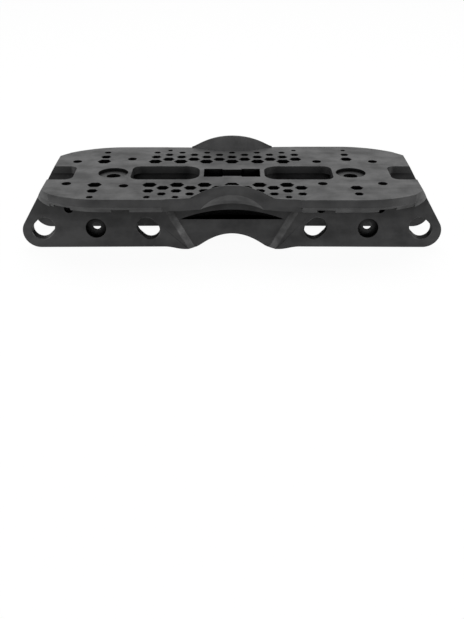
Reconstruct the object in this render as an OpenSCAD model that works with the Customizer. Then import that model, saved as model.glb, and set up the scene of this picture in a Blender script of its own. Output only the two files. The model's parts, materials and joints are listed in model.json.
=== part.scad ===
// Aggressive inline skate frame with soul plates, as an assembly of its walls, plates and blocks.
// Millimetres, +X to the toe, +Y to the outer side, +Z up.
// The origin lies midway between the two boot bolts, on the floor of their round seats.

/* [View] */
// Sub-part to draw, or all of them

/* [Boot bolts] */
// Distance between the two boot bolts
bolt_spacing = 165; // [155:1:175]
// Boot bolt hole in the deck
bolt_hole_d = 9.6; // [8.8:0.1:10.4]
// Round seat around the boot bolt
bolt_seat_d = 20.6; // [17:0.1:23]
// Depth of the round seat
bolt_seat_depth = 2.4; // [1:0.1:3.6]
// How much wider than the bolt hole the two-flat hole is
nut_extra = 0.4; // [0.2:0.1:1]
// How much the two flats close in on the bolt hole
nut_flat = 0.9; // [0.4:0.1:1]

/* [Axles] */
// Distance between the outermost axle holes
wheelbase = 260; // [250:1:268]
// Distance between neighbouring axle holes
axle_pitch = 36.15; // [33:0.05:38]
// Deck top to the axle line
axle_drop = 32.5; // [30:0.1:36]
// Width of the slotted axle hole in the rail
axle_hole_d = 13.2; // [10:0.1:15]
// Distance between the two axle places in a slotted hole
axle_shift = 3.3; // [1:0.1:5]
// Slope of a slotted axle hole
axle_slope = 45; // [30:1:60]
// Width of the bevel around an axle hole
axle_bevel = 0.7; // [0.3:0.05:1]
// Round hole through the rail between two axle holes
pin_hole_d = 5.6; // [5:0.1:8]
// Round recess outside that hole
pin_recess_d = 14; // [11:0.1:16]
// Depth of that recess
pin_recess = 4.4; // [2:0.1:5]

/* [Rails] */
// Clear width between the rails
rail_gap = 32; // [30:0.5:36]
// Wall of a rail
rail_wall = 6.35; // [5.5:0.05:8]
// Radius of the rail's round end
end_r = 11.85; // [11:0.05:14]
// How far the centre of the round end lies beyond the outer axle hole
end_out = 2.7; // [1:0.1:4]
// How far it lies below the axle line
end_low = 2.3; // [1:0.1:3.5]
// Deck top to the straight underside of a rail
rail_h = 46.3; // [45:0.1:49]
// Inner end of the rail at the soul plate's underside
joint_x = 46.8; // [45:0.1:48]
// Lean of the rail's inner end
joint_lean = 29; // [26:0.5:31]
// Width of the bevelled strip at the rail's inner end
strip_w = 4; // [3:0.1:6]

/* [Deck] */
// Thickness of the deck
deck_t = 5.3; // [4.6:0.1:6.5]
// How far the deck end lies inside the outer axle line
deck_setback = 4; // [2:0.1:7]
// Width of the wheel slots
slot_w = 28.3; // [26:0.1:29.5]
// Length of the solid middle between the wheel slots
core_len = 45; // [40:0.5:48]
// Length of a wheel slot
slot_len = 47.2; // [43:0.1:49]
// Length of the solid pad under a boot bolt
pad_len = 39.6; // [37:0.1:41]
// Corner radius of a slot, towards the middle
slot_r_mid = 9.5; // [6:0.1:12]
// Corner radius of a slot, towards the pad
slot_r_pad = 6; // [4:0.1:9]
// Corner radius of an end notch
notch_r = 5.5; // [4:0.1:9]
// Bridge below the deck at a boot bolt
bridge_t = 4.7; // [3.5:0.1:6]
// Chamfer under the bridge's outer end
bridge_chamfer = 2.2; // [1:0.1:3]
// Width of the cross rib under a bridge
rib_w = 3.6; // [2.5:0.1:5]
// Height of the cross rib
rib_h = 6; // [3:0.1:9]
// How far the cross rib's middle lies inside the bridge's outer end
rib_inset = 10.5; // [8:0.1:13]

/* [Soul plates] */
// Half width of the outer soul plate at the toe
soul_outer_toe = 61.3; // [60:0.1:66]
// Half width of the outer soul plate at the heel
soul_outer_heel = 59.9; // [59.6:0.1:66]
// Half width of the inner soul plate at the toe
soul_inner_toe = 54.6; // [53:0.1:60]
// Half width of the inner soul plate at the heel
soul_inner_heel = 53.8; // [53:0.1:60]
// Thickness of a soul plate below the deck
soul_t = 4.7; // [4.2:0.1:6]
// Width of the chamfer along the soul edge
chamfer_w = 3.8; // [2.5:0.1:5]
// End of the straight outer edge
flat_outer = 80; // [76:0.5:84]
// End of the straight inner edge
flat_inner = 84; // [78:0.5:88]
// Radius of the curved outer edge
arc_outer = 64; // [60:0.5:70]
// Radius of the curved inner edge
arc_inner = 65; // [60:0.5:70]
// Shoulder where the curved edge steps to the end cap
shoulder_x = 120.2; // [117:0.1:122]
// Step of the soul plate at the shoulder
shoulder_step = 2.9; // [1:0.1:4]
// Step of the deck at the shoulder
deck_step = 0.6; // [0.2:0.1:2]
// Radius of the end cap
cap_r = 48; // [45:0.5:52]
// Centre of the end cap along the frame
cap_x = 87.1; // [84:0.1:90]
// Width of a channel under the soul plate
channel_w = 11.7; // [9:0.1:14]
// Depth of a channel
channel_depth = 2.2; // [1.2:0.1:3]
// Screw hole through deck and soul plate
screw_d = 6.4; // [5:0.1:7]
// Deck top to the foot of the screw's way in the rail
screw_way = 21.2; // [14:0.1:24]
// Toe channel nearer the middle
toe_channel = 61; // [59:0.1:64]
// Toe channel nearer the end, from the deck's end
toe_channel_end = 24.7; // [21:0.1:28]
// Heel channel nearer the middle
heel_channel = 72.4; // [70:0.1:75]
// Heel channel nearer the end, from the deck's end
heel_channel_end = 14.7; // [13:0.1:17]
// Outer screws' distance from the middle line
screw_outer = 25; // [24:0.1:27]
// Inner screws' distance from the middle line
screw_inner = 22.6; // [22:0.1:26]
// Outer screw beside the heel slot, distance from the middle line
screw_outer_wide = 31; // [28:0.1:34]
// Inner screw beside the heel slot, distance from the middle line
screw_inner_wide = 27; // [26:0.1:31]

/* [Waist] */
// How far the outer edge lies inside the soul edge at the middle
waist_outer = 2.4; // [1.5:0.1:5]
// How far the inner edge lies inside the soul edge at the middle
waist_inner = 8.4; // [4:0.1:10]
// How far the outer edge lies inside the soul edge where the waist ends
brow_outer = 0.3; // [0.2:0.1:1.2]
// How far the inner edge lies inside the soul edge where the waist ends
brow_inner = 1.5; // [0.5:0.1:3]
// Half length of the outer waist
waist_len_outer = 44; // [42:0.1:46]
// Half length of the inner waist
waist_len_inner = 40; // [37:0.1:42]
// Length of the ramp from the waist to the soul edge
ramp_len = 5; // [3:0.1:7]
// Thickness of the mid plate below the deck
mid_t = 3.1; // [2.4:0.1:3.8]
// Half length of the mid plate at the rails
crease_x = 29.7; // [27:0.1:31]
// Lean of the mid plate's ends
crease_lean = 26.2; // [24:0.2:27.4]
// Width of the sloped wall at the mid plate's ends
crease_w = 2.5; // [1.5:0.1:4]

/* [Lips] */
// Height of the outer lip
lip_h_outer = 9.6; // [6:0.1:14]
// Height of the inner lip
lip_h_inner = 6.8; // [5:0.1:10]
// Half length of the outer lip
lip_half_outer = 29.5; // [28:0.5:34]
// Half length of the inner lip
lip_half_inner = 26.5; // [25:0.5:32]
// Fullness of the outer lip's crest
lip_full_outer = 2.1; // [1.6:0.1:3]
// Fullness of the inner lip's crest
lip_full_inner = 2.1; // [1.6:0.1:3]
// How softly a lip runs out at its ends
lip_soft = 0.15; // [0.1:0.01:0.2]
// Height at which a lip ends
lip_low = 0.5; // [0.3:0.1:1]
// Depth of a lip's seat in the deck
lip_seat = 0.4; // [0.2:0.1:0.4]
// Width of the outer lip at its foot
lip_run_outer = 8.6; // [5:0.1:9]
// Width of the inner lip at its foot
lip_run_inner = 5.7; // [4:0.1:7]
// Width of a lip at its top
lip_top = 1; // [0.6:0.1:2]
// Radius of the scooped cut under a lip
grind_r = 29.4; // [26:0.1:36]
// Lean of the scooped cut
grind_slope = 42; // [38:1:45]
// Height over the deck at which the cut starts in the lip
grind_rise = 0.3; // [0.1:0.1:1]

/* [Centre block] */
// How far the block's sides lie inside the rails' outer faces
block_inset = 2.95; // [2:0.05:3]
// Half length of the lowest points on either side of the arch
dip_x = 32.6; // [31:0.1:36]
// How far these points lie below the rails
dip_depth = 1.9; // [1:0.1:3.5]
// Length over which the dip runs out along the rail
dip_run = 14.2; // [10:0.1:18]
// Height of the arch above its lowest points
arch_h = 10.6; // [8:0.1:13]
// Half length of the arch
arch_half = 24.5; // [22:0.1:27]
// How softly the arch runs out at its foot
arch_soft = 0.17; // [0.1:0.01:0.3]
// Lean of the block's wheel faces
well_lean = 5.5; // [3:0.5:7]
// Corner radius beside the wheel faces
well_r = 10; // [7:0.5:12]
// Deck top to the ledge in the block's side
ledge_drop = 26.9; // [25:0.1:29]
// Height of the side recess over the ledge
recess_h = 7; // [4:0.1:9]
// Half length of the side recess
recess_half = 35.6; // [33:0.1:36.5]
// Depth of the side recess at its ends
recess_rim = 1.4; // [1:0.1:2]
// Depth of the side recess in the middle
recess_depth = 9; // [5:0.1:12]
// Depth of the saddle under the arch
saddle_depth = 2; // [1:0.1:3]
// Half width of the saddle's floor
saddle_half = 8; // [6:0.1:10]
// Width of the saddle's slopes
saddle_slope = 3.5; // [2:0.1:5]

/* [Pocket] */
// Length of the pocket in the deck's middle
pocket_len = 39; // [34:0.5:40]
// Width of the pocket at its ends
pocket_w = 17; // [14:0.1:19]
// Width of the pocket's narrow middle
pocket_neck_w = 14; // [10:0.1:14]
// Length of the narrow middle
pocket_neck = 13.2; // [10:0.1:16]
// Depth of the pocket's ends below the deck
pocket_depth = 10; // [6:0.1:12]

/* [Lattice] */
// Largest hexagon, corner to corner
hex_d = 10; // [7:0.1:10.2]
// How much smaller each row is than the one before
hex_shrink = 1.25; // [0.9:0.05:1.3]
// Distance between hexagon columns
hex_col = 9.2; // [8.8:0.1:9.5]
// First row's distance from the middle line
hex_first = 25.1; // [24.6:0.1:26.5]
// Distance between rows on the outer side
hex_row_outer = 5.3; // [5:0.1:5.8]
// Distance between rows on the inner side
hex_row_inner = 5.9; // [5.4:0.1:6.1]
// Least wall between a hexagon and an edge
hex_wall = 0.7; // [0.5:0.1:1.5]

/* [Hidden] */
$fn = 96;
OUTER = 0;
INNER = 1;
TOE = 0;
HEEL = 1;

deck_tone = [0.34, 0.34, 0.35];
soul_tone = [0.22, 0.22, 0.23];
rail_tone = [0.27, 0.27, 0.28];
block_tone = [0.30, 0.30, 0.31];
web_tone = [0.16, 0.16, 0.17];

// Steps along a curve that is worked out by formula
curve_steps = 28;
// How far a cutting solid runs past what it cuts
past = 20;

half_base = wheelbase / 2;
rail_in = rail_gap / 2;
rail_out = rail_in + rail_wall;
block_half = rail_out - block_inset;
deck_top = bolt_seat_depth;
deck_bottom = deck_top - deck_t;
mid_bottom = deck_bottom - mid_t;
soul_bottom = deck_bottom - soul_t;
bridge_bottom = deck_bottom - bridge_t;
axle_z = deck_top - axle_drop;
rail_bottom = deck_top - rail_h;
dip_bottom = rail_bottom - dip_depth;
ledge_z = deck_top - ledge_drop;

// The frame's ends are cut by one slanted plane, from the deck's end down to the rails' round ends
deck_end = half_base - deck_setback;
end_x = half_base + end_out;
end_z = axle_z - end_low;
end_line = [end_x - deck_end, deck_top - end_z];
end_slant = atan2(end_line[0], end_line[1]) + asin(end_r / norm(end_line));
frame_end = end_x + end_r;

slot_mid = core_len / 2;
slot_pad = slot_mid + slot_len;
notch_x = slot_pad + pad_len;

// Per-side values, looked up by OUTER or INNER
wide_w = [max(soul_outer_toe, soul_outer_heel), max(soul_inner_toe, soul_inner_heel)];
mean_w = [(soul_outer_toe + soul_outer_heel) / 2, (soul_inner_toe + soul_inner_heel) / 2];
flat_x = [flat_outer, flat_inner];
arc_r = [arc_outer, arc_inner];
waist = [mean_w[OUTER] - waist_outer, mean_w[INNER] - waist_inner];
brow_in = [brow_outer, brow_inner];
waist_len = [waist_len_outer, waist_len_inner];
lip_h = [lip_h_outer, lip_h_inner];
lip_half = [lip_half_outer, lip_half_inner];
lip_full = [lip_full_outer, lip_full_inner];
lip_run = [lip_run_outer, lip_run_inner];
hex_row = [hex_row_outer, hex_row_inner];

// Per-end values, looked up by TOE or HEEL; widths and screws then by side
soul_w = [[soul_outer_toe, soul_inner_toe], [soul_outer_heel, soul_inner_heel]];
channels = [[toe_channel, deck_end - toe_channel_end], [heel_channel, deck_end - heel_channel_end]];
screws_y = [
    [[screw_outer, screw_outer], [screw_inner, screw_inner]],
    [[screw_outer_wide, screw_outer], [screw_inner_wide, screw_inner]]
];

// Smooth bump: 1 at the middle, 0 at x = half
function bump(x, half) = abs(x) < half ? (1 + cos(180 * x / half)) / 2 : 0;

// Half width of the frame along the waist, which runs into the soul edge of either end
function waist_y(side, x) =
    let (brow = soul_w[x < 0 ? HEEL : TOE][side] - brow_in[side])
    brow - (brow - waist[side]) * bump(x, waist_len[side]);

// Half width of the curved soul edge beyond its straight part
function arc_y(end, side, x) =
    soul_w[end][side] - arc_r[side] + sqrt(pow(arc_r[side], 2) - pow(max(0, x - flat_x[side]), 2));

// Centre of the end cap, so that the shoulder has its step
function cap_y(end, side, step) =
    arc_y(end, side, shoulder_x) - step - sqrt(pow(cap_r, 2) - pow(shoulder_x - cap_x, 2));

// Half length of the mid plate at a distance from the middle line
function crease_at(y) = crease_x + (y - rail_out) * tan(crease_lean);

// Half width of the mid plate, which ends where the waist runs into the soul edge
function mid_w(side) =
    min(wide_w[side], rail_out + (waist_len[side] + ramp_len - crease_x) / tan(crease_lean));

// Inner end of a rail at a height
function joint_at(z) = joint_x + (z - soul_bottom) * tan(joint_lean);

// Share of a full height that runs out softly instead of stopping at zero
function soft_foot(share, soft) = (share + sqrt(pow(share, 2) + pow(soft, 2))) / 2;

// Share of the arch's full height: a parabola with a soft foot
function arch_rise(x) = soft_foot(1 - pow(x / arch_half, 2), arch_soft);

// Underside of the block and rails
function under_z(x) = abs(x) < dip_x
    ? dip_bottom + arch_h * (arch_rise(x) - arch_rise(dip_x))
    : rail_bottom - dip_depth * bump(abs(x) - dip_x, dip_run);

// Share of a lip's full height
function lip_rise(side, x) = soft_foot(1 - pow(abs(x) / lip_half[side], lip_full[side]), lip_soft);

// Where a lip has come down to its least height
function lip_reach(side) =
    let (low = lip_low / lip_h[side], share = low - pow(lip_soft, 2) / (4 * low))
    lip_half[side] * pow(1 - share, 1 / lip_full[side]);

// Foot of a lip on the deck
function lip_foot(side, x) = waist_y(side, x) - lip_run[side] * lip_rise(side, x);

// Evenly spaced values from a to b
function steps(a, b, n = curve_steps) = [for (i = [0 : n]) a + (b - a) * i / n];

module on_side(side) {
    mirror([0, side == INNER ? 1 : 0, 0]) children();
}

module on_end(end) {
    mirror([end == HEEL ? 1 : 0, 0, 0]) children();
}

// Draws an X-Z outline as a solid from y0 to y1
module along_y(y0, y1) {
    translate([0, y1, 0]) rotate([90, 0, 0]) linear_extrude(y1 - y0) children();
}

// Draws an X-Y outline as a solid from z0 to z1
module along_z(z0, z1) {
    translate([0, 0, z0]) linear_extrude(z1 - z0) children();
}

// Round bar along Y, from y0 to y1
module bar_y(x, z, r0, r1, y0, y1) {
    translate([x, y1, z]) rotate([90, 0, 0]) cylinder(r1 = r1, r2 = r0, h = y1 - y0);
}

// Solid through a row of rings that all have the same number of points
module loft(rings) {
    n = len(rings[0]);
    last = len(rings) - 1;
    sides = [for (i = [0 : last - 1], j = [0 : n - 1])
        [i * n + j, (i + 1) * n + j, (i + 1) * n + (j + 1) % n, i * n + (j + 1) % n]];
    start = [for (j = [0 : n - 1]) j];
    end = [for (j = [n - 1 : -1 : 0]) last * n + j];
    polyhedron([for (ring = rings, p = ring) p], concat([start], sides, [end]));
}

// Rectangle from x0 to x1 with its own corner radius at each end
module slot_2d(x0, x1, w, r0, r1) {
    translate([x0 + r0, -w / 2]) square([x1 - r1 - x0 - r0, w]);
    translate([x0, r0 - w / 2]) square([r0, w - 2 * r0]);
    translate([x1 - r1, r1 - w / 2]) square([r1, w - 2 * r1]);
    for (s = [-1, 1]) {
        translate([x0 + r0, s * (w / 2 - r0)]) circle(r = r0);
        translate([x1 - r1, s * (w / 2 - r1)]) circle(r = r1);
    }
}

// One quarter of the plan: straight edge, curved edge up to the shoulder, end cap
module quarter_2d(end, side) {
    edge = soul_w[end][side];
    square([flat_x[side], edge]);
    intersection() {
        translate([flat_x[side], edge - arc_r[side]]) circle(r = arc_r[side]);
        translate([flat_x[side], 0]) square([shoulder_x - flat_x[side], edge]);
    }
    intersection() {
        translate([cap_x, cap_y(end, side, deck_step)]) circle(r = cap_r);
        translate([shoulder_x, 0]) square([past, edge]);
    }
}

// What the waist takes away from the plan on one side, with the given end towards +X
module waist_2d(side, end = TOE) {
    x1 = waist_len[side];
    edge = soul_w[end][side];
    other = soul_w[end == TOE ? HEEL : TOE][side];
    polygon(concat(
        [[-x1 - ramp_len, other + past], [-x1 - ramp_len, other]],
        [for (x = steps(-x1, x1)) [x, waist_y(side, x)]],
        [[x1 + ramp_len, edge], [x1 + ramp_len, edge + past]]
    ));
}

// Mid plate between its two leaning ends
module mid_2d(side) {
    top = mid_w(side);
    difference() {
        polygon([
            [-crease_at(rail_out), rail_out], [crease_at(rail_out), rail_out],
            [crease_at(top), top], [-crease_at(top), top]
        ]);
        waist_2d(side);
    }
}

module bow_tie_2d() {
    difference() {
        square([pocket_len, pocket_w], center = true);
        for (s = [-1, 1]) {
            translate([0, s * pocket_neck_w]) square([pocket_neck, pocket_neck_w], center = true);
        }
    }
}

// Hexagon rows of one column: every other row, as far out as the edge allows
module hex_column_2d(side, k) {
    x = k * hex_col;
    rows = abs(k) >= 5 ? 6 : 5;
    edge = min(lip_foot(side, x), arc_y(k < 0 ? HEEL : TOE, side, abs(x)));
    for (row = [k % 2 == 0 ? 1 : 2 : 2 : rows]) {
        y = hex_first + (row - 1) * hex_row[side];
        d = hex_d - (row - 1) * hex_shrink;
        if (y + d / 2 + hex_wall < edge) {
            translate([x, y]) circle(d = d, $fn = 6);
        }
    }
}

module lattice_2d() {
    for (side = [OUTER, INNER], k = concat([-10], [for (i = [-6 : 5]) i], [9])) {
        on_side(side) hex_column_2d(side, k);
    }
}

module screws_2d(end) {
    for (i = [0, 1], side = [OUTER, INNER]) {
        on_side(side) translate([channels[end][i], screws_y[end][side][i]]) circle(d = screw_d);
    }
}

module deck_2d() {
    difference() {
        for (side = [OUTER, INNER], end = [TOE, HEEL]) {
            on_side(side) on_end(end) quarter_2d(end, side);
        }
        for (side = [OUTER, INNER]) {
            on_side(side) waist_2d(side);
        }
        for (end = [TOE, HEEL]) {
            on_end(end) {
                slot_2d(slot_mid, slot_pad, slot_w, slot_r_mid, slot_r_pad);
                slot_2d(notch_x, frame_end + past, slot_w, notch_r, notch_r);
                translate([bolt_spacing / 2, 0]) circle(d = bolt_hole_d);
                screws_2d(end);
            }
        }
        bow_tie_2d();
        lattice_2d();
    }
}

// Everything beyond the slanted end of the frame
module end_cut() {
    translate([deck_end, 0, deck_top]) rotate([0, -end_slant, 0])
        translate([0, -frame_end, -2 * frame_end]) cube([2 * past, 2 * frame_end, 4 * frame_end]);
}

// Scooped cut under a lip
module grind_cut(side) {
    translate([0, waist[side], deck_top + grind_rise]) rotate([-grind_slope, 0, 0])
        translate([0, grind_r, 0]) cylinder(r = grind_r, h = 2 * past, center = true);
}

// Shallow seat of a lip along the edge of the deck
module lip_seat_2d(side) {
    reach = lip_reach(side);
    top = wide_w[side] + past;
    polygon(concat(
        [[-reach, top]], [for (x = steps(-reach, reach)) [x, lip_foot(side, x)]], [[reach, top]]
    ));
}

module deck_plate() {
    color(deck_tone) difference() {
        along_z(deck_bottom, deck_top) deck_2d();
        for (end = [TOE, HEEL]) {
            on_end(end) {
                end_cut();
                translate([bolt_spacing / 2, 0, 0]) cylinder(d = bolt_seat_d, h = deck_top + 1);
            }
        }
        for (side = [OUTER, INNER]) {
            on_side(side) {
                grind_cut(side);
                along_z(deck_top - lip_seat, deck_top + 1) lip_seat_2d(side);
            }
        }
    }
}

// Raised guard along the waist, drawn out to where it is almost level with the deck
module lip(side) {
    reach = lip_reach(side);
    foot = deck_top - lip_seat;
    color(deck_tone) on_side(side) difference() {
        loft([for (x = steps(-reach, reach))
            let (rise = lip_rise(side, x), y = waist_y(side, x), crest = deck_top + lip_h[side] * rise)
            [[x, lip_foot(side, x), foot], [x, y, foot], [x, y, crest], [x, y - lip_top * rise, crest],
             [x, lip_foot(side, x), deck_top]]
        ]);
        grind_cut(side);
    }
}

module lip_outer() { lip(OUTER); }
module lip_inner() { lip(INNER); }

// Soul plate before its cuts: chamfered straight edge, chamfered arc, plain end cap
module soul_blank(end, side) {
    edge = soul_w[end][side];
    rotate([90, 0, 90]) linear_extrude(flat_x[side]) polygon([
        [rail_out, deck_bottom], [edge, deck_bottom],
        [edge - chamfer_w, soul_bottom], [rail_out, soul_bottom]
    ]);
    intersection() {
        translate([flat_x[side], edge - arc_r[side], soul_bottom])
            cylinder(r1 = arc_r[side] - chamfer_w, r2 = arc_r[side], h = soul_t);
        translate([flat_x[side], rail_out, soul_bottom])
            cube([shoulder_x - flat_x[side], edge, soul_t]);
    }
    intersection() {
        translate([cap_x, cap_y(end, side, shoulder_step), soul_bottom]) cylinder(r = cap_r, h = soul_t);
        translate([shoulder_x, rail_out, soul_bottom]) cube([past, edge, soul_t]);
    }
}

// Sloped wall where a soul plate stands below the mid plate
module crease_cut() {
    drop = mid_bottom - soul_bottom;
    translate([crease_x, rail_out, 0]) rotate([0, 0, -crease_lean]) rotate([90, 0, 0])
        linear_extrude(2 * frame_end, center = true)
            polygon([[-crease_w, mid_bottom + drop], [2 * crease_w, soul_bottom - drop],
                     [-crease_w, soul_bottom - drop]]);
}

module soul(end, side) {
    top = wide_w[side] + 1;
    color(soul_tone) on_end(end) on_side(side) difference() {
        soul_blank(end, side);
        // everything on the mid plate's side of the crease
        along_z(soul_bottom - 1, deck_bottom + 1) polygon([
            [-1, rail_out - 1], [crease_at(rail_out - 1), rail_out - 1], [crease_at(top), top], [-1, top]
        ]);
        along_z(soul_bottom - 1, deck_bottom + 1) waist_2d(side, end);
        crease_cut();
        end_cut();
        for (i = [0, 1]) {
            translate([channels[end][i] - channel_w / 2, rail_out - 1, soul_bottom - 1])
                cube([channel_w, wide_w[side], channel_depth + 1]);
            translate([channels[end][i], screws_y[end][side][i], soul_bottom - 1])
                cylinder(d = screw_d, h = soul_t + 2);
        }
    }
}

module soul_toe_outer() { soul(TOE, OUTER); }
module soul_toe_inner() { soul(TOE, INNER); }
module soul_heel_outer() { soul(HEEL, OUTER); }
module soul_heel_inner() { soul(HEEL, INNER); }

module mid(side) {
    color(soul_tone) on_side(side) difference() {
        along_z(mid_bottom, deck_bottom) mid_2d(side);
        grind_cut(side);
    }
}

module mid_outer() { mid(OUTER); }
module mid_inner() { mid(INNER); }

// Side view of a rail: curved underside, round end, slanted end up to the deck
module rail_2d() {
    foot = dip_x + dip_run;
    deep = dip_bottom - past;
    tip = [end_x + end_r * cos(end_slant), end_z + end_r * sin(end_slant)];
    intersection() {
        union() {
            polygon(concat(
                [for (x = steps(dip_x / 2, foot)) [x, under_z(x)]],
                [[end_x, end_z - end_r], [end_x, end_z], tip,
                 [deck_end + deck_t * tan(end_slant), deck_bottom], [dip_x / 2, deck_bottom]]
            ));
            translate([end_x, end_z]) circle(r = end_r);
        }
        polygon([
            [joint_at(deck_bottom), deck_bottom], [joint_at(deep), deep],
            [frame_end + past, deep], [frame_end + past, deck_bottom]
        ]);
    }
}

// Bevelled strip at the rail's inner end, below the soul plate
module strip_cut() {
    m = block_inset / strip_w;
    intersection() {
        translate([joint_x, 0, soul_bottom]) rotate([0, joint_lean, 0])
            linear_extrude(8 * past, center = true) polygon([
                [-strip_w, block_half - m * strip_w], [2 * strip_w, rail_out + m * strip_w],
                [-strip_w, rail_out + m * strip_w]
            ]);
        translate([0, 0, soul_bottom - 4 * past]) cube([frame_end, 2 * rail_out, 4 * past]);
    }
}

// Slotted axle hole with a bevel around its mouth, leaning one way or the other
module axle_hole(x, slope) {
    r = axle_hole_d / 2;
    translate([x, 0, axle_z]) rotate([0, slope, 0]) {
        for (place = [-axle_shift / 2, axle_shift / 2]) {
            bar_y(place, 0, r, r, rail_in - 1, rail_out + 1);
            bar_y(place, 0, r, r + 2 * axle_bevel, rail_out - axle_bevel, rail_out + axle_bevel);
        }
        rotate([90, 0, 90]) linear_extrude(axle_shift, center = true) polygon([
            [rail_in - 1, -r], [rail_out - axle_bevel, -r], [rail_out + axle_bevel, -r - 2 * axle_bevel],
            [rail_out + axle_bevel, r + 2 * axle_bevel], [rail_out - axle_bevel, r], [rail_in - 1, r]
        ]);
    }
}

module rail(end, side) {
    pin_x = half_base - axle_pitch;
    way_foot = deck_top - screw_way + screw_d / 2;
    color(rail_tone) on_end(end) on_side(side) difference() {
        along_y(rail_in, rail_out) rail_2d();
        strip_cut();
        axle_hole(half_base, axle_slope);
        axle_hole(half_base - 2 * axle_pitch, -axle_slope);
        bar_y(pin_x, axle_z, pin_hole_d / 2, pin_hole_d / 2, rail_in - 1, rail_out + 1);
        bar_y(pin_x, axle_z, pin_recess_d / 2, pin_recess_d / 2, rail_out - pin_recess, rail_out + 1);
        // the screws near the rails leave a half-round way with a round foot
        for (i = [0, 1]) {
            translate([channels[end][i], screws_y[end][side][i], way_foot]) {
                cylinder(d = screw_d, h = deck_bottom - way_foot + 1);
                sphere(d = screw_d);
            }
        }
    }
}

module rail_toe_outer() { rail(TOE, OUTER); }
module rail_toe_inner() { rail(TOE, INNER); }
module rail_heel_outer() { rail(HEEL, OUTER); }
module rail_heel_inner() { rail(HEEL, INNER); }

// Side view of the centre block between the rails' inner ends
module block_2d() {
    deep = dip_bottom - past;
    reach = max(joint_at(deck_bottom), dip_x + dip_run);
    intersection() {
        polygon(concat(
            [for (x = steps(-reach, reach, 2 * curve_steps)) [x, under_z(x)]],
            [[reach, deck_bottom], [-reach, deck_bottom]]
        ));
        polygon([
            [-joint_at(deck_bottom), deck_bottom], [-joint_at(deep), deep],
            [joint_at(deep), deep], [joint_at(deck_bottom), deck_bottom]
        ]);
    }
}

// Low arc over a flat ledge
module recess_2d() {
    r = (pow(recess_half, 2) + pow(recess_h, 2)) / (2 * recess_h);
    intersection() {
        translate([0, ledge_z + recess_h - r]) circle(r = r);
        translate([-recess_half, ledge_z]) square([2 * recess_half, recess_h]);
    }
}

// Side recess with a hollow floor, deepest in the middle
module recess_cut() {
    hollow = recess_depth - recess_rim;
    r = (pow(recess_half, 2) + pow(hollow, 2)) / (2 * hollow);
    intersection() {
        along_y(block_half - recess_depth, block_half + 1) recess_2d();
        translate([0, block_half - recess_depth + r, ledge_z - 1]) cylinder(r = r, h = recess_h + 2);
    }
}

// Shallow trough along the arch, deepest on the middle line
module saddle_cut() {
    reach = dip_x + strip_w;
    wide = saddle_half + saddle_slope;
    loft([for (x = steps(-reach, reach))
        let (z = under_z(x))
        [[x, -wide - saddle_slope, z - saddle_depth], [x, wide + saddle_slope, z - saddle_depth],
         [x, saddle_half, z + saddle_depth], [x, -saddle_half, z + saddle_depth]]
    ]);
}

module centre_block() {
    color(block_tone) difference() {
        union() {
            along_y(-block_half, block_half) block_2d();
            // head that carries the mid plates
            along_y(-rail_out, rail_out) intersection() {
                block_2d();
                translate([-frame_end, mid_bottom]) square([2 * frame_end, mid_t]);
            }
        }
        for (end = [TOE, HEEL]) {
            on_end(end) translate([slot_mid, 0, deck_bottom]) rotate([0, -well_lean, 0])
                along_z(-4 * past, past) slot_2d(0, 2 * frame_end, rail_gap, well_r, well_r);
        }
        for (side = [OUTER, INNER]) {
            on_side(side) recess_cut();
        }
        along_z(deck_bottom - pocket_depth, deck_bottom + 1) difference() {
            bow_tie_2d();
            square([pocket_neck, pocket_w], center = true);
        }
        saddle_cut();
    }
}

module bridge(end) {
    color(web_tone) on_end(end) difference() {
        along_y(-rail_in, rail_in) polygon([
            [slot_pad, deck_bottom], [slot_pad, bridge_bottom], [notch_x - bridge_chamfer, bridge_bottom],
            [notch_x, bridge_bottom + bridge_chamfer], [notch_x, deck_bottom]
        ]);
        translate([bolt_spacing / 2, 0, 0]) along_z(bridge_bottom - 1, deck_bottom + 1) intersection() {
            circle(d = bolt_hole_d + nut_extra);
            square([2 * bolt_hole_d, bolt_hole_d - nut_flat], center = true);
        }
    }
}

module bridge_toe() { bridge(TOE); }
module bridge_heel() { bridge(HEEL); }

// Stiffening rib across the underside of a bridge, from rail to rail
module cross_rib(end) {
    color(web_tone) on_end(end) translate([notch_x - rib_inset - rib_w / 2, -rail_in, bridge_bottom - rib_h])
        cube([rib_w, rail_gap, rib_h]);
}

module cross_rib_toe() { cross_rib(TOE); }
module cross_rib_heel() { cross_rib(HEEL); }

deck_plate();
lip_outer();
lip_inner();
soul_toe_outer();
soul_toe_inner();
soul_heel_outer();
soul_heel_inner();
mid_outer();
mid_inner();
rail_toe_outer();
rail_toe_inner();
rail_heel_outer();
rail_heel_inner();
centre_block();
bridge_toe();
bridge_heel();
cross_rib_toe();
cross_rib_heel();
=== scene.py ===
"""Looks for an aggressive inline skate frame: black moulded nylon on a plain white ground."""
import json
import math

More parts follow.
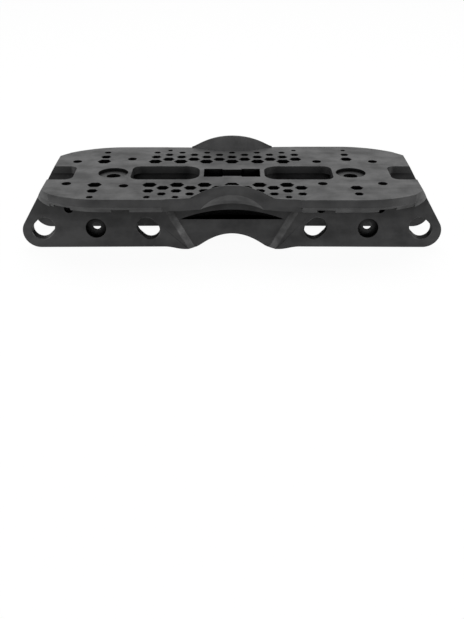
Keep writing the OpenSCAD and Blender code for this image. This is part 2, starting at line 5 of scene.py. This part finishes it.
import bpy
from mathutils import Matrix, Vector


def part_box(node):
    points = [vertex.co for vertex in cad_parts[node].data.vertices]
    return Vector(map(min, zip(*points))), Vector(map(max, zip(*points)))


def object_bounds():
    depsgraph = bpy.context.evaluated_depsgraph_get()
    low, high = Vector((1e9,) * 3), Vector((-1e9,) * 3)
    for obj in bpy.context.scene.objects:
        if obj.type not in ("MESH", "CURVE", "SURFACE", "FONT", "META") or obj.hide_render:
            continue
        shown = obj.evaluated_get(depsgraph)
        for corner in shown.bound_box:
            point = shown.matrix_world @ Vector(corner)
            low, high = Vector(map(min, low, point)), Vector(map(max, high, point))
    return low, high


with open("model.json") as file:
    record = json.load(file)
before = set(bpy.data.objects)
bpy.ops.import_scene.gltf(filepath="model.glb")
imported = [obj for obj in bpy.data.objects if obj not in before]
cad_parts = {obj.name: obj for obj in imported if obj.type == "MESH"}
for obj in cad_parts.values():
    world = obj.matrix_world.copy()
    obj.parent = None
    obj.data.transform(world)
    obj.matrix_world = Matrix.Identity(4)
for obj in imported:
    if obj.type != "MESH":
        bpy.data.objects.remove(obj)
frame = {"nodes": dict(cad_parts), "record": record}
cad_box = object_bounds()
scene = bpy.context.scene
MM = 0.001

# The camera, fitted to the photographed view from the side and above (pixels, metres and degrees)
IMAGE_HEIGHT = 619
FOCAL_PX = 857.24
CAMERA_DISTANCE = 603.45 * MM
SIGHT_ELEVATION = 18.57
AXIS_BELOW_SIGHT = 9.07

# Width of the camera's sensor in millimetres, which spans the picture's longer side, its height
SENSOR = 36.0

# Edges: radius by the first word of a node's name, and facets in each rounding. The mid plates run on
# into their neighbours and have none.
EDGE_ROUND = {
    "deck": 0.18 * MM,
    "lip": 0.5 * MM,
    "soul": 0.25 * MM,
    "rail": 0.3 * MM,
    "centre": 0.3 * MM,
    "bridge": 0.25 * MM,
    "cross": 0.4 * MM,
}
EDGE_STEPS = 2

# Angles between faces in degrees: over the first an edge is rounded, over the second it is shaded sharp,
# and under the third the faces count as one
EDGE_ANGLE = 28.0
SMOOTH_ANGLE = 24.0
FLAT_ANGLE = 0.2

# Vertices closer than this are one
WELD = 0.001 * MM

# Where nodes meet: how far off a plane still counts as in it, how far the joints between rails and
# centre block lean from upright in degrees, and the height of the lips' foot over the deck
SEAM_REACH = 0.01 * MM
JOINT_LEAN = 29.0
LIP_FOOT = 0.45 * MM

# Moulded nylon: base grey, roughness, grain depth and gloss of each material slot
FINISHES = {
    "deck": (0.022, 0.46, 0.16, 0.26),
    "soul": (0.020, 0.50, 0.16, 0.27),
    "rail": (0.020, 0.46, 0.12, 0.28),
    "block": (0.020, 0.45, 0.08, 0.28),
    "web": (0.014, 0.55, 0.16, 0.28),
}

# Fine grain: noise scale and detail, and the height that a grain depth of 1 stands for
GRAIN_SCALE = 1500.0
GRAIN_DETAIL = 2.0
GRAIN_HEIGHT = 0.2 * MM

# Cloudy mottling, and the flow streaks along the frame that are mixed into it
MOTTLE_SCALE = 75.0
MOTTLE_DETAIL = 5.0
MOTTLE_ROUGHNESS = 0.6
STREAK_SCALE = (14.0, 110.0, 110.0)
STREAK_DETAIL = 3.0
STREAK_SHARE = 0.4

# What the clouds change: between two levels the grey goes from dark to light, and between two more the
# gloss and the roughness swing; the grey has a trace of blue
TONE_LOW, TONE_HIGH = 0.30, 0.72
TONE_DARK, TONE_LIGHT = 0.82, 1.22
TONE_BLUE = 1.02
MOTTLE_LOW, MOTTLE_HIGH = 0.38, 0.62
GLOSS_SWING = 0.35
ROUGH_SWING = 0.06

# Painted shade in hollows: how far it reaches, the openness that is black or clear, and the rays cast
HOLLOW_REACH = 30 * MM
HOLLOW_BLACK = 0.28
HOLLOW_CLEAR = 1.0
HOLLOW_RAYS = 8

# Painted shade on axle hole walls: how far from the axle, how square to its axis, and the light left
HOLE_REACH = 9.3 * MM
HOLE_SQUARE = 0.5
HOLE_LIGHT = 0.3

# Floor: gap below the frame, size, paleness and share of glow as seen, and paleness as a source of
# stray light
FLOOR_GAP = 0.3 * MM
FLOOR_SIZE = 12.0
FLOOR_WHITE = 0.9
FLOOR_GLOW = 0.95
FLOOR_DIM = 0.25

# World: strength as seen, and as a source of stray light
WORLD_WHITE = 1.0
WORLD_FILL = 0.3

# Lamps: place, width and power (metres and watts) of each, and the point that all look at
LAMPS = {
    "key": ((0.0, 0.35, 1.3), 1.4, 20),
    "left": ((-1.1, -0.8, 0.2), 0.7, 11),
    "right": ((1.1, -0.8, 0.2), 0.7, 11),
}
LAMP_AIM = Vector((0, 0, 0))

# Distance between nodes in Blender's node editor
NODE_STEP = 200


def add_node(tree, kind, inputs, **properties):
    """A node with its properties set and its inputs linked to other nodes' outputs or set to values."""
    node = tree.nodes.new(kind)
    node.location.x = NODE_STEP * len(tree.nodes)
    for key, value in properties.items():
        setattr(node, key, value)
    for key, source in inputs.items():
        if isinstance(source, bpy.types.NodeSocket):
            tree.links.new(source, node.inputs[key])
        else:
            node.inputs[key].default_value = source
    return node


def maths(tree, operation, *sources):
    """Output of a maths node, fed in order."""
    return add_node(tree, "ShaderNodeMath", dict(enumerate(sources)), operation=operation).outputs[0]


def vector_maths(tree, operation, first, second):
    """Outputs of a vector maths node."""
    return add_node(tree, "ShaderNodeVectorMath", {0: first, 1: second}, operation=operation).outputs


def clouds(tree, place):
    """Soft cloudy mottling with faint flow streaks, as a level about one half."""
    mottle = add_node(tree, "ShaderNodeTexNoise", {
        "Vector": place,
        "Scale": MOTTLE_SCALE,
        "Detail": MOTTLE_DETAIL,
        "Roughness": MOTTLE_ROUGHNESS,
    })
    stretch = add_node(tree, "ShaderNodeMapping", {"Vector": place, "Scale": STREAK_SCALE})
    streak = add_node(tree, "ShaderNodeTexNoise", {
        "Vector": stretch.outputs["Vector"],
        "Scale": 1.0,
        "Detail": STREAK_DETAIL,
    })
    both = add_node(tree, "ShaderNodeMix", {
        "Factor": STREAK_SHARE,
        "A": mottle.outputs["Fac"],
        "B": streak.outputs["Fac"],
    }, data_type="FLOAT")
    return both.outputs["Result"]


def cloudy_grey(tree, cloud, grey):
    """Grey that goes from dark to light with the clouds."""
    tone = add_node(tree, "ShaderNodeValToRGB", {"Fac": cloud})
    stops = zip(tone.color_ramp.elements, (TONE_LOW, TONE_HIGH), (TONE_DARK, TONE_LIGHT))
    for stop, level, share in stops:
        stop.position = level
        stop.color = (grey * share, grey * share, grey * share * TONE_BLUE, 1)
    return tone.outputs["Color"]


def cloudy_value(tree, cloud, low, high):
    """Value that goes from one number to another with the clouds."""
    swing = add_node(tree, "ShaderNodeMapRange", {
        "Value": cloud,
        "From Min": MOTTLE_LOW,
        "From Max": MOTTLE_HIGH,
        "To Min": low,
        "To Max": high,
    })
    return swing.outputs["Result"]


def painted_hollow_shade(tree):
    """Painted shade: 1 on open faces, falling to 0 in deep hollows."""
    around = add_node(tree, "ShaderNodeAmbientOcclusion", {"Distance": HOLLOW_REACH}, samples=HOLLOW_RAYS)
    open_share = add_node(tree, "ShaderNodeMapRange", {
        "Value": around.outputs["AO"],
        "From Min": HOLLOW_BLACK,
        "From Max": HOLLOW_CLEAR,
    }, interpolation_type="SMOOTHSTEP")
    return open_share.outputs["Result"]


def painted_hole_shade(tree, place, holes):
    """Painted shade: HOLE_LIGHT on the walls of holes across the frame, 1 elsewhere.

    Distances from the holes' axes leave out y, the way that the axes run.
    """
    side_on = vector_maths(tree, "MULTIPLY", place, (1, 0, 1))["Vector"]
    gaps = [vector_maths(tree, "DISTANCE", side_on, (x, 0, z))["Value"] for x, _, z in holes]
    least = gaps[0]
    for gap in gaps[1:]:
        least = maths(tree, "MINIMUM", least, gap)
    near = maths(tree, "LESS_THAN", least, HOLE_REACH)
    face = add_node(tree, "ShaderNodeNewGeometry", {})
    turn = add_node(tree, "ShaderNodeSeparateXYZ", {0: face.outputs["Normal"]})
    wall = maths(tree, "LESS_THAN", maths(tree, "ABSOLUTE", turn.outputs["Y"]), HOLE_SQUARE)
    light = add_node(tree, "ShaderNodeMapRange", {
        "Value": maths(tree, "MULTIPLY", near, wall),
        "To Min": 1.0,
        "To Max": HOLE_LIGHT,
    })
    return light.outputs["Result"]


def nylon(name, grey, rough, depth, gloss, holes):
    """Moulded black nylon: cloudy grey, gloss, roughness, fine grain, painted shade in hollows and holes.
    """
    mat = bpy.data.materials.new(name)
    mat.use_nodes = True
    tree = mat.node_tree
    place = add_node(tree, "ShaderNodeTexCoord", {}).outputs["Object"]
    cloud = clouds(tree, place)
    # Painted shade: the hollow and hole masks darken both the colour and the gloss
    painted_shade_share = maths(tree, "MULTIPLY", painted_hollow_shade(tree), painted_hole_shade(tree, place, holes))
    colour = add_node(tree, "ShaderNodeMix", {
        "Factor": 1.0,
        "A": cloudy_grey(tree, cloud, grey),
        "B": painted_shade_share,
    }, data_type="RGBA", blend_type="MULTIPLY")
    patchy = cloudy_value(tree, cloud, gloss * (1 - GLOSS_SWING), gloss * (1 + GLOSS_SWING))
    grain = add_node(tree, "ShaderNodeTexNoise", {
        "Vector": place,
        "Scale": GRAIN_SCALE,
        "Detail": GRAIN_DETAIL,
    })
    bump = add_node(tree, "ShaderNodeBump", {
        "Strength": depth,
        "Distance": GRAIN_HEIGHT,
        "Height": grain.outputs["Fac"],
    })
    surface = {
        "Base Color": colour.outputs["Result"],
        "Specular IOR Level": maths(tree, "MULTIPLY", painted_shade_share, patchy),
        "Roughness": cloudy_value(tree, cloud, rough + ROUGH_SWING, rough - ROUGH_SWING),
        "Normal": bump.outputs["Normal"],
    }
    shader = tree.nodes["Principled BSDF"]
    for key, source in surface.items():
        tree.links.new(source, shader.inputs[key])
    return mat


def geometry_group(name):
    """Empty node group for a modifier, and the mesh that comes into it."""
    group = bpy.data.node_groups.new(name, "GeometryNodeTree")
    for way in ("INPUT", "OUTPUT"):
        group.interface.new_socket("Geometry", in_out=way, socket_type="NodeSocketGeometry")
    return group, add_node(group, "NodeGroupInput", {}).outputs["Geometry"]


def over(group, value, limit):
    """True where a value is over a limit."""
    compare = add_node(group, "FunctionNodeCompare", {"A": value, "B": limit}, operation="GREATER_THAN")
    return compare.outputs["Result"]


def over_angle(group, degrees):
    """True on the edges whose faces meet at more than an angle."""
    corner = add_node(group, "GeometryNodeInputMeshEdgeAngle", {})
    return over(group, corner.outputs["Unsigned Angle"], math.radians(degrees))


def smooth_group():
    """Shades smooth and keeps edges sharp where faces meet at a corner."""
    group, mesh = geometry_group("smooth_by_corner")
    faces = add_node(group, "GeometryNodeSetShadeSmooth", {"Geometry": mesh}, domain="FACE")
    edges = add_node(group, "GeometryNodeSetShadeSmooth", {
        "Geometry": faces.outputs["Geometry"],
        "Selection": over_angle(group, SMOOTH_ANGLE),
        "Shade Smooth": False,
    }, domain="EDGE")
    add_node(group, "NodeGroupOutput", {"Geometry": edges.outputs["Geometry"]})
    return group


def rounding_group(name, planes):
    """Marks the corners to round: all but those in, or also behind, a plane where two nodes meet."""
    group, mesh = geometry_group("round_" + name)
    ends = add_node(group, "GeometryNodeInputMeshEdgeVertices", {}).outputs
    keep = over_angle(group, EDGE_ANGLE)
    for point, normal, behind_too in planes:
        gaps = []
        for end in ("Position 1", "Position 2"):
            arm = vector_maths(group, "SUBTRACT", ends[end], point)["Vector"]
            gap = vector_maths(group, "DOT_PRODUCT", arm, normal)["Value"]
            gaps.append(gap if behind_too else maths(group, "ABSOLUTE", gap))
        off = over(group, maths(group, "MAXIMUM", *gaps), SEAM_REACH)
        keep = add_node(group, "FunctionNodeBooleanMath", {0: keep, 1: off}, operation="AND").outputs[0]
    marked = add_node(group, "GeometryNodeStoreNamedAttribute", {
        "Geometry": mesh,
        "Name": "bevel_weight_edge",
        "Value": keep,
    }, data_type="FLOAT", domain="EDGE")
    add_node(group, "NodeGroupOutput", {"Geometry": marked.outputs["Geometry"]})
    return group


def seam_planes():
    """Planes, by the first word of a node's name, in or behind which that node meets its neighbours.

    Each is a point, a normal, and whether all that lies behind the plane counts too.
    """
    level = Vector((0, 0, 1))
    across = Vector((0, 1, 0))
    lean = math.radians(JOINT_LEAN)
    rail_low, rail_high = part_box("rail_toe_outer")
    block_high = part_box("centre_block")[1]
    deck_low, deck_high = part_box("deck_plate")
    lip_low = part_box("lip_outer")[0]
    under_deck = (deck_low, level, False)
    joints, inside, outside = [], [], []
    for sign in (-1, 1):
        joint_top = Vector((sign * block_high.x, 0, block_high.z))
        joint_out = Vector((sign * math.cos(lean), 0, -math.sin(lean)))
        joints.append((joint_top, joint_out, False))
        inside.append((Vector((0, sign * rail_low.y, 0)), across, False))
        outside.append((Vector((0, sign * rail_high.y, 0)), across, False))
    return {
        "deck": [under_deck, (lip_low, level, False)],
        "lip": [(deck_high + LIP_FOOT * level, level, True)],
        "soul": outside,
        "rail": [under_deck] + joints,
        "centre": [under_deck, (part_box("mid_outer")[0], level, False)] + joints + outside,
        "bridge": [under_deck] + inside,
        "cross": [(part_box("bridge_toe")[0], level, False)] + inside,
    }


def soften(node, radius, marks, shade_group):
    """Rounds a CAD node's marked corners, if it has a radius, and smooths its shading, all by modifiers."""
    weld = node.modifiers.new("weld", "WELD")
    weld.merge_threshold = WELD
    flat = node.modifiers.new("flat", "DECIMATE")
    flat.decimate_type = "DISSOLVE"
    flat.angle_limit = math.radians(FLAT_ANGLE)
    if radius:
        mark = node.modifiers.new("mark", "NODES")
        mark.node_group = marks
        bevel = node.modifiers.new("round", "BEVEL")
        bevel.width = radius
        bevel.segments = EDGE_STEPS
        bevel.limit_method = "WEIGHT"
        bevel.use_clamp_overlap = False
    shade = node.modifiers.new("shade", "NODES")
    shade.node_group = shade_group
    normals = node.modifiers.new("normals", "WEIGHTED_NORMAL")
    normals.keep_sharp = True


def seen_directly(tree):
    """1 for rays that show a surface: from the camera, in a reflection or through glass."""
    path = add_node(tree, "ShaderNodeLightPath", {}).outputs
    seen = maths(tree, "MAXIMUM", path["Is Camera Ray"], path["Is Glossy Ray"])
    return maths(tree, "MAXIMUM", seen, path["Is Transmission Ray"])


def mixed(tree, share, first, second):
    """Two shaders mixed, with a share of the second."""
    return add_node(tree, "ShaderNodeMixShader", {0: share, 1: first.outputs[0], 2: second.outputs[0]})


def floor_material():
    """Pale floor, clear from below.

    To the eye it is white, with a soft shadow left in it. As a source of stray light it is dim.
    """
    mat = bpy.data.materials.new("floor_white")
    mat.use_nodes = True
    tree = mat.node_tree
    tree.nodes.clear()
    pale = add_node(tree, "ShaderNodeBsdfDiffuse", {"Color": (FLOOR_WHITE, FLOOR_WHITE, FLOOR_WHITE, 1)})
    glow = add_node(tree, "ShaderNodeEmission", {})
    dim = add_node(tree, "ShaderNodeBsdfDiffuse", {"Color": (FLOOR_DIM, FLOOR_DIM, FLOOR_DIM, 1)})
    from_above = mixed(tree, seen_directly(tree), dim, mixed(tree, FLOOR_GLOW, pale, glow))
    side = add_node(tree, "ShaderNodeNewGeometry", {})
    clear = add_node(tree, "ShaderNodeBsdfTransparent", {})
    one_sided = mixed(tree, side.outputs["Backfacing"], from_above, clear)
    add_node(tree, "ShaderNodeOutputMaterial", {"Surface": one_sided.outputs[0]})
    return mat


def studio_world():
    """White surroundings to the eye and in reflections, dim as a source of stray light."""
    world = bpy.data.worlds.new("studio")
    world.use_nodes = True
    tree = world.node_tree
    ground = tree.nodes["Background"]
    ground.inputs["Color"].default_value = (1, 1, 1, 1)
    strength = add_node(tree, "ShaderNodeMapRange", {
        "Value": seen_directly(tree),
        "To Min": WORLD_FILL,
        "To Max": WORLD_WHITE,
    })
    tree.links.new(strength.outputs["Result"], ground.inputs["Strength"])
    return world


def soft_box(name, place, width, power):
    """A square area lamp that looks at LAMP_AIM."""
    data = bpy.data.lights.new(name, "AREA")
    data.energy = power
    data.size = width
    lamp = bpy.data.objects.new(name, data)
    lamp.location = place
    lamp.rotation_mode = "QUATERNION"
    lamp.rotation_quaternion = (LAMP_AIM - Vector(place)).to_track_quat("-Z", "Y")
    scene.collection.objects.link(lamp)


# Materials and edges of the CAD nodes
mounts = frame["record"]["mounts"]
axles = [mount["pos_m"] for mount in mounts if mount["name"].startswith("axle_")]
materials = {slot: nylon("nylon_" + slot, *finish, axles) for slot, finish in FINISHES.items()}
slots = {part["node"]: part["material_slot"] for part in frame["record"]["subparts"]}
corner_group = smooth_group()
round_groups = {kind: rounding_group(kind, planes) for kind, planes in seam_planes().items()}
for name, node in frame["nodes"].items():
    kind = name.split("_")[0]
    node.data.materials.clear()
    node.data.materials.append(materials[slots[name]])
    soften(node, EDGE_ROUND.get(kind), round_groups.get(kind), corner_group)

# Floor, which lets light from below through to the frame
bpy.ops.mesh.primitive_plane_add(size=FLOOR_SIZE, location=(0, 0, cad_box[0].z - FLOOR_GAP))
floor = bpy.context.object
floor.name = "floor"
floor.data.materials.append(floor_material())
floor.visible_shadow = False

# World and lamps
scene.world = studio_world()
for name, (place, width, power) in LAMPS.items():
    soft_box(name, place, width, power)

# Camera, turned up from straight down by its angle
camera_data = bpy.data.cameras.new("camera")
camera_data.sensor_width = SENSOR
camera_data.lens = FOCAL_PX * SENSOR / IMAGE_HEIGHT
camera = bpy.data.objects.new("camera", camera_data)
sight = math.radians(SIGHT_ELEVATION)
deck_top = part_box("deck_plate")[1].z
camera.location = (0, -CAMERA_DISTANCE * math.cos(sight), deck_top + CAMERA_DISTANCE * math.sin(sight))
camera.rotation_euler = (math.radians(90 - SIGHT_ELEVATION - AXIS_BELOW_SIGHT), 0, 0)
scene.collection.objects.link(camera)
scene.camera = camera

scene.view_settings.view_transform = "Standard"
